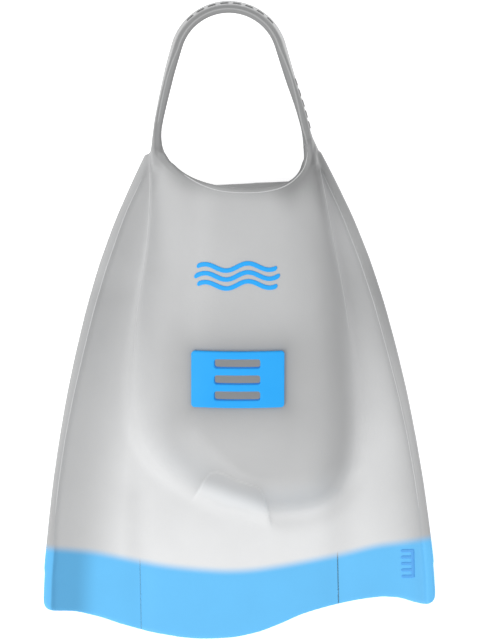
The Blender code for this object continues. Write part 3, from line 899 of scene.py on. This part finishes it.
def maths(tree, operation, *values):
    made = tree.nodes.new("ShaderNodeMath")
    made.operation = operation
    for socket, value in zip(made.inputs, values):
        feed(tree, socket, value)
    return made.outputs[0]


def object_place(tree):
    return tree.nodes.new("ShaderNodeTexCoord").outputs["Object"]


def mix_colour(tree, factor, a, b, blend="MIX"):
    made = tree.nodes.new("ShaderNodeMix")
    made.data_type = "RGBA"
    made.blend_type = blend
    for number, value in ((0, factor), (6, a), (7, b)):
        feed(tree, made.inputs[number], value)
    return made.outputs[2]


def attribute(tree, name):
    made = tree.nodes.new("ShaderNodeAttribute")
    made.attribute_name = name
    return made.outputs["Fac"]


def silicone_bump(tree, shader, strength):
    """Fine grain and faint unevenness as bump. Gives back the broad noise, for the colour to follow."""
    place = object_place(tree)
    fine = node(tree, "ShaderNodeTexNoise", Vector=place, Scale=900.0, Detail=2.0, Roughness=0.6)
    broad = node(tree, "ShaderNodeTexNoise", Vector=place, Scale=45.0, Detail=2.0, Roughness=0.5)
    height = maths(tree, "MULTIPLY_ADD", broad.outputs["Fac"], 1.5, fine.outputs["Fac"])
    bump = node(tree, "ShaderNodeBump", Strength=strength, Distance=0.00025, Height=height)
    feed(tree, shader.inputs["Normal"], bump.outputs["Normal"])
    return broad.outputs["Fac"]


def silicone_material():
    material, tree, shader = principled("two_tone_silicone", 0.48)
    cloud = silicone_bump(tree, shader, 0.25)
    grey = mix_colour(tree, attribute(tree, "tone"), BLACK, SILICONE_WHITE)
    blue = mix_colour(tree, attribute(tree, "blue_tone"), BLACK, SILICONE_BLUE)
    colour = mix_colour(tree, attribute(tree, "blue_dip"), grey, blue)
    mottle = node(tree, "ShaderNodeMapRange", Value=cloud, From_Min=0.3, From_Max=0.7, To_Min=0.97, To_Max=1)
    colour = mix_colour(tree, 1.0, colour, mottle.outputs["Result"], "MULTIPLY")
    feed(tree, shader.inputs["Base Color"], colour)
    shader.inputs["Specular IOR Level"].default_value = 0.4
    # Painted glow: emission on the pocket's inner faces
    glow = maths(tree, "MULTIPLY", attribute(tree, "shine_through"), PAINTED_GLOW_STRENGTH)
    feed(tree, shader.inputs["Emission Strength"], glow)
    shader.inputs["Emission Color"].default_value = PURE_WHITE
    return material


def blue_material(name, roughness, bump, colours):
    """A plain blue, with the silicone's grain, that varies a little between two colours."""
    material, tree, shader = principled(name, roughness)
    cloud = silicone_bump(tree, shader, bump)
    feed(tree, shader.inputs["Base Color"], mix_colour(tree, cloud, *colours))
    return material, shader


# The silicone's pieces


def inside_pocket(x, y, z):
    """1 on the pocket's inner faces, where a painted glow stands for daylight shining through the milky
    silicone.
    """
    inward, share = pocket_depth(x, y)
    below = vault_height(x, y, inward, share) - SHELL - z
    above_sole = ramp(z, SOLE_TOP - 1.5, SOLE_TOP - 0.5)
    return ramp(inward, 2.2, 3.4) * ramp(below, -1.2, -0.2) * above_sole * ramp(-y, -84, -72)


def open_slits(mesh):
    """Draws the cut edges beside the two slits a little apart."""
    for vertex in mesh.vertices:
        x, y, _ = vertex.co / MM
        if y > SLIT_START or abs(abs(x) - SLIT_X) > 0.01:
            continue
        opened = float(ramp(SLIT_START - y, 0, 5))
        toward_middle = -1 if x > 0 else 1
        sign = toward_middle if mesh.name.startswith("centre") else -toward_middle
        vertex.co.x += sign * SLIT_GAP * opened * MM


def build_silicone(material):
    """Meshes the moulding once, and divides it into the skins."""
    points, quads, normals = silicone_mesh()
    x, y, _ = points[quads].mean(axis=1).T
    in_front = y < TIP_CUT + CUT_MARGIN
    tip = (1, TIP_CUT, 1)
    # Each skin's quads, with some to spare, and the planes that cut it to shape
    pieces = {
        "foot_pocket_skin": (
            (y > TIP_CUT - CUT_MARGIN) & (y < STRAP_CUT + CUT_MARGIN),
            ((1, TIP_CUT, -1), (1, STRAP_CUT, 1)),
        ),
        "heel_strap_skin": (y > STRAP_CUT - CUT_MARGIN, ((1, STRAP_CUT, -1),)),
        "left_tip_skin": (in_front & (x < CUT_MARGIN - SLIT_X), (tip, (0, -SLIT_X, 1))),
        "centre_tip_skin": (
            in_front & (np.abs(x) < SLIT_X + CUT_MARGIN),
            (tip, (0, -SLIT_X, -1), (0, SLIT_X, 1)),
        ),
        "right_tip_skin": (in_front & (x > SLIT_X - CUT_MARGIN), (tip, (0, SLIT_X, -1))),
    }
    made = {}
    for name, (chosen, cuts) in pieces.items():
        mesh = net_mesh(name, points, quads[chosen], normals)
        trim(mesh, cuts)
        if "tip" in name:
            open_slits(mesh)
        x, y, z = positions(mesh)
        store(
            mesh,
            blue_dip=dip_share(x, y),
            tone=silicone_tone(x, y, z),
            blue_tone=1 - blue_painted_shade(x, y),
            shine_through=inside_pocket(x, y, z),
        )
        set_normals(mesh)
        made[name] = add_object(name, mesh, material)
    return made


# The badge and the marks


def draped(name, centre, low, high, step, shape, material):
    """A raised piece on the skin, in a box of offsets from its centre and of true heights.

    shape(u, v, w) gives its field, with w as the height off the skin.
    """
    low = (centre[0] + low[0], centre[1] + low[1], low[2])
    high = (centre[0] + high[0], centre[1] + high[1], high[2])
    xs, ys, zs = (grid_axis(a, b, step) for a, b in zip(low, high))
    x, y = np.meshgrid(xs, ys, indexing="ij")
    skin = skin_height(x, y)
    gx, gy = np.gradient(skin, step)
    squared = 1 + gx * gx + gy * gy
    rise = zs[None, None, :] - skin[:, :, None]
    u = x[:, :, None] + (gx / squared)[:, :, None] * rise
    v = y[:, :, None] + (gy / squared)[:, :, None] * rise
    w = rise / np.sqrt(squared)[:, :, None]
    field = shape(u - centre[0], v - centre[1], w).astype(np.float32)
    points, quads, normals = surface_net(field, np.array([xs[0], ys[0], zs[0]]), step)
    mesh = net_mesh(name, points, quads, normals)
    set_normals(mesh)
    return add_object(name, mesh, material)


def skin_height(x, y):
    s = surface_fields(x, y)
    return np.maximum(s["vault"], s["web"])


def rounded_box(u, v, half_u, half_v, radius):
    """Signed distance to a rectangle with rounded corners."""
    du, dv = np.abs(u) - half_u + radius, np.abs(v) - half_v + radius
    return np.hypot(np.maximum(du, 0), np.maximum(dv, 0)) + np.minimum(np.maximum(du, dv), 0) - radius


def badge_shape(u, v, w):
    """A plate that bows a little toward the toes, with three slots."""
    cosine, sine = math.cos(BADGE_TURN), math.sin(BADGE_TURN)
    u, v = u * cosine + v * sine, v * cosine - u * sine
    v = v + BADGE_BOW * (1 - (u / 26) ** 2) - BADGE_BOW / 2
    plan = rounded_box(u, v, BADGE_SIZE[0] / 2, BADGE_SIZE[1] / 2, 1.8)
    plate = rounded_bar(plan, np.abs(w + 0.4) - 2.4, 0.6)
    for row in (-1, 0, 1):
        slot = rounded_box(u + 0.4, v - row * SLOT_PITCH, SLOT_SIZE[0] / 2, SLOT_SIZE[1] / 2, SLOT_RADIUS)
        plate = smooth_max(plate, -slot, 0.5)
    return plate


def emblem_shape(u, v, w):
    """Three waves, one over the other."""
    wavelength, pitch, half_stroke = 24.0, 5.0, 1.25
    phase = 2 * math.pi * u / wavelength
    swell = 1.9 * np.sin(phase)
    steepness = 2.2 * math.pi / 12 * np.cos(phase)
    lean = np.sqrt(1 + steepness * steepness)
    field = np.full(np.broadcast(u, w).shape, 99.0)
    for row, half in ((1, 22.5), (0, 24.0), (-1, 22.5)):
        stroke = np.abs(v - row * pitch - swell) / lean - half_stroke
        stroke = smooth_max(stroke, np.abs(u) - half, 1.6)
        field = np.minimum(field, stroke)
    return rounded_bar(field, np.abs(w) - 0.55, 0.35)


def ladder_shape(u, v, w):
    """A row of rungs on one rail."""
    field = rounded_box(u - 3.2, v, 0.75, 8.0, 0.6)
    pitch = 3.6
    for row in (-2, -1, 0, 1, 2):
        rung = rounded_box(u - 0.2, v - row * pitch, 3.6, 0.75, 0.6)
        field = np.minimum(field, rung)
    return rounded_bar(field, np.abs(w) - 0.5, 0.3)


def build_marks():
    badge_blue, badge_shader = blue_material("badge_blue", 0.5, 0.12, BADGE_BLUES)
    badge_shader.inputs["Specular IOR Level"].default_value = 0.2
    ladder_blue, _ = blue_material("dipped_blue_silicone", 0.45, 0.2, LADDER_BLUES)

    box = (-27, -17, 36), (27, 17, 58)
    badge = draped("badge_plate", BADGE_CENTRE, *box, MARK_GRID, badge_shape, badge_blue)
    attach(badge, "foot_pocket")
    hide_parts("vent_badge")

    box = (-25, -9, 56), (25, 9, 70)
    emblem = draped("wave_marks", EMBLEM_CENTRE, *box, MARK_GRID, emblem_shape, badge_blue)
    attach(emblem, "foot_pocket")
    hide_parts("wave_emblem")

    box = (-5, -10, 9), (6, 10, 16)
    ladder = draped("ladder_mark", LADDER_CENTRE, *box, LADDER_GRID, ladder_shape, ladder_blue)
    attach(ladder, "tip_right")
    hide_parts("tip_ladder")


# The fine raised lines: how deep each one's middle lies under the skin, half its width and half its height

RIM = (0.12, 0.36, 0.34)
CREASE = (0.12, 0.30, 0.30)
SEAM = (0.10, 0.28, 0.28)
RIDGE = (0.15, 0.50, 0.40)
DASH_STARTS = [21.5 + 6.2 * k for k in range(5)] + [83 + 6.6 * k for k in range(8)]

# How far inside the rails' inner edges the mould lines run
SEAM_INSET = {-1: -0.1, 1: 0.3}


def swept(path, halves, taper=0.8, sides=8):
    """A thin bar along a path of points, tapered at both ends, as its vertices and its faces."""
    path = np.asarray(path, float)
    count = len(path)
    ahead = directions(path)
    aside = np.cross(ahead, (0, 0, 1))
    aside /= np.linalg.norm(aside, axis=1)[:, None]
    upward = np.cross(aside, ahead)
    length = lengths_along(path)
    from_end = np.minimum(length, length[-1] - length) / taper
    size = np.sqrt(np.clip(1 - (1 - np.clip(from_end, 0, 1)) ** 2, 0.02, 1))
    angles = np.linspace(0, 2 * math.pi, sides, endpoint=False)
    ring = size[:, None, None] * (
        halves[0] * np.cos(angles)[None, :, None] * aside[:, None, :]
        + halves[1] * np.sin(angles)[None, :, None] * upward[:, None, :]
    )
    vertices = (path[:, None, :] + ring).reshape(-1, 3)
    faces = []
    for first in range(0, (count - 1) * sides, sides):
        for k in range(sides):
            after = (k + 1) % sides
            faces.append((first + k, first + after, first + sides + after, first + sides + k))
    faces.append(tuple(range(sides))[::-1])
    faces.append(tuple((count - 1) * sides + k for k in range(sides)))
    return vertices, faces


def bars_object(name, bars, tones, material):
    """Bars as one object, with one tone on the fin's left and one on its right."""
    vertices, faces = [], []
    for bar_vertices, bar_faces in bars:
        faces += [tuple(len(vertices) + v for v in face) for face in bar_faces]
        vertices += [tuple(v * MM) for v in bar_vertices]
    mesh = bpy.data.meshes.new(name)
    mesh.from_pydata(vertices, [], faces)
    mesh.shade_smooth()
    x, y, _ = positions(mesh)
    whole = np.ones(len(x))
    tone = np.where(x < 0, tones[0], tones[1])
    store(mesh, blue_dip=dip_share(x, y), tone=tone, blue_tone=whole, shine_through=0 * whole)
    return add_object(name, mesh, material)


def even_path(points, step=0.8):
    """The polyline through the points, rounded and cut into even steps."""
    path = rounded_path(points, rounds=2)
    total = lengths_along(path)[-1]
    return points_at(path, np.linspace(0, total, max(int(total / step), 4)))


def laid_on(skin, path, sizes, taper):
    """A bar laid along a path in plan on the skin's upper face, and sunk into it a little."""
    bpy.context.view_layer.update()
    lifted = []
    for x, y in path:
        hit, place, _, _ = skin.ray_cast(Vector((x, y, 120)) * MM, Vector((0, 0, -1)))
        if hit:
            lifted.append((x, y, place.z / MM - sizes[0]))
    lifted = np.array(lifted)
    kernel = np.ones(5) / 5
    z = np.convolve(np.pad(lifted[:, 2], 2, mode="edge"), kernel, mode="valid")
    return swept(np.column_stack([lifted[:, :2], z]), sizes[1:], taper)


def strap_bars():
    """Raised dashes on the strap's outer face: round the back and down its right side."""
    length, lift, halves = 4.8, 3.6, (0.65, 2.2)
    line = strap_line()
    total = lengths_along(line)[-1]
    bars = []
    for start in DASH_STARTS:
        at = np.linspace(start, start + length, 8)
        centre = points_at(line, at)
        ahead = directions(centre)
        back = np.sin(math.pi * at / total) ** 2
        z = STRAP_HEIGHT + STRAP_RISE * back + lift
        out = STRAP_HALF - STRAP_LEAN * back * lift
        place = centre + np.column_stack([ahead[:, 1], -ahead[:, 0]]) * out[:, None]
        bars.append(swept(np.column_stack([place, z]), halves))
    return bars


def mould_seams(pocket):
    """The lines in the creases between the pocket and the webs, and those beside the rails."""
    seams = []
    for sign, front in ((-1, -30), (1, -10)):
        side = pocket_outline[np.sign(pocket_outline[:, 0]) == sign]
        side = side[np.argsort(side[:, 1])]
        ys = np.arange(86, -30, -1.5)
        ys = ys[ys > front]
        crease = np.column_stack([np.interp(ys, side[:, 1], side[:, 0]), ys])
        seams.append(laid_on(pocket, crease, CREASE, 30.0))
        ys = np.arange(82, -110, -1.5)
        xs = axis_x(ys) + sign * (outer_x(ys) - rail_width(sign, ys) - SEAM_INSET[sign])
        seams.append(laid_on(pocket, np.column_stack([xs, ys]), SEAM, 20.0))
    return seams


def build_fine_lines(made, material):
    """Fine raised lines: round the mouth and the strap, in the creases and beside the rails."""
    pocket, strap = made["foot_pocket_skin"], made["heel_strap_skin"]
    rim = laid_on(pocket, even_path(RIM_LINE), RIM, 8.0)
    # The rim line's light tone is a painted highlight on the raised bead
    bead = bars_object("rim_line", [rim], (0.62, 0.62), material)
    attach(bead, "foot_pocket")
    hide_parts("mouth_rim")

    # The mould lines' light tones are painted highlights on the raised lines
    lines = bars_object("mould_lines", mould_seams(pocket), (0.68, 0.70), material)
    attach(lines, "foot_pocket")
    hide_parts("left_web", "right_web")

    arch = on_arch(29.0, np.radians(np.linspace(15, 165, 40)))
    path = even_path(STRAP_LINE_RIGHT + arch + STRAP_LINE_LEFT)
    ridge = [laid_on(strap, path, RIDGE, 8.0)]
    for name, bars, tones in (
        # The strap line's lighter tone is a painted highlight on its raised ridge
        ("strap_line", ridge, (0.46, 0.46)),
        ("strap_dashes", strap_bars(), (0.24, 0.24)),
    ):
        piece = bars_object(name, bars, tones, material)
        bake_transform(piece)
        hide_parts("heel_strap")


def attach_silicone(made):
    pocket = made["foot_pocket_skin"]
    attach(pocket, "foot_pocket")
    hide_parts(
        "instep_shell", "lateral_wall", "medial_wall", "toe_wall", "sole", "mouth_rim", "left_web",
        "right_web", "left_rail", "right_rail", "blade_panel", "power_rib",
    )
    strap = made["heel_strap_skin"]
    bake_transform(strap)
    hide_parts("heel_strap")
    for side, nodes in (
        ("left", ("left_tip_flap", "left_rail_tip")),
        ("centre", ("centre_tip_flap",)),
        ("right", ("right_tip_flap", "right_rail_tip")),
    ):
        piece = made[f"{side}_tip_skin"]
        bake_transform(piece)
        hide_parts(*nodes)


# Stage

# The camera: its height, its turn in degrees, and how much of the fin its picture is high, at FRAME_LEVEL
CAMERA_HEIGHT = 8.0
CAMERA_TURN = -1.15
FRAME_HEIGHT = 0.3584
FRAME_LEVEL = 0.03
SENSOR = 32


def area_light(name, place, target, size, power):
    data = bpy.data.lights.new(name, "AREA")
    data.shape = "RECTANGLE"
    data.size, data.size_y = size
    data.energy = power
    light = bpy.data.objects.new(name, data)
    light.location = place
    light.rotation_euler = (Vector(target) - Vector(place)).to_track_quat("-Z", "Y").to_euler()
    bpy.context.scene.collection.objects.link(light)


def build_floor():
    material, tree, shader = principled("studio_floor", 0.9)
    speckle = node(tree, "ShaderNodeTexNoise", Vector=object_place(tree), Scale=6.0, Detail=2.0)
    feed(tree, shader.inputs["Base Color"], mix_colour(tree, speckle.outputs["Fac"], *FLOOR_WHITES))
    shader.inputs["Emission Color"].default_value = PURE_WHITE
    shader.inputs["Emission Strength"].default_value = 0.55
    shape = bmesh.new()
    bmesh.ops.create_grid(shape, x_segments=2, y_segments=2, size=6.0)
    mesh = bpy.data.meshes.new("floor")
    shape.to_mesh(mesh)
    shape.free()
    floor = add_object("floor", mesh, material)
    floor.location.z = -0.0004


def build_camera():
    """Straight above the fin, far enough off to see it nearly without perspective."""
    data = bpy.data.cameras.new("camera")
    camera = bpy.data.objects.new("camera", data)
    bpy.context.scene.collection.objects.link(camera)
    camera.location = (0.0034, 0.0, CAMERA_HEIGHT)
    camera.rotation_euler = (0, 0, math.radians(CAMERA_TURN))
    data.sensor_fit = "VERTICAL"
    data.sensor_height = SENSOR
    data.lens = SENSOR * (CAMERA_HEIGHT - FRAME_LEVEL) / FRAME_HEIGHT
    data.clip_end = 50
    bpy.context.scene.camera = camera


def build_stage():
    scene = bpy.context.scene
    scene.view_settings.view_transform = "Standard"
    build_floor()
    scene.world = bpy.data.worlds.new("studio")
    scene.world.use_nodes = True
    background = scene.world.node_tree.nodes["Background"]
    background.inputs["Color"].default_value = PURE_WHITE
    background.inputs["Strength"].default_value = 0.70
    area_light("key", (-0.9, -0.9, 1.0), (0, -0.02, 0), (0.9, 0.9), 9.0)
    area_light("fill", (0.9, 0.4, 1.3), (0, 0, 0), (1.2, 1.2), 3.0)
    build_camera()


silicone = silicone_material()
skins = build_silicone(silicone)
attach_silicone(skins)
build_fine_lines(skins, silicone)
build_marks()
build_stage()
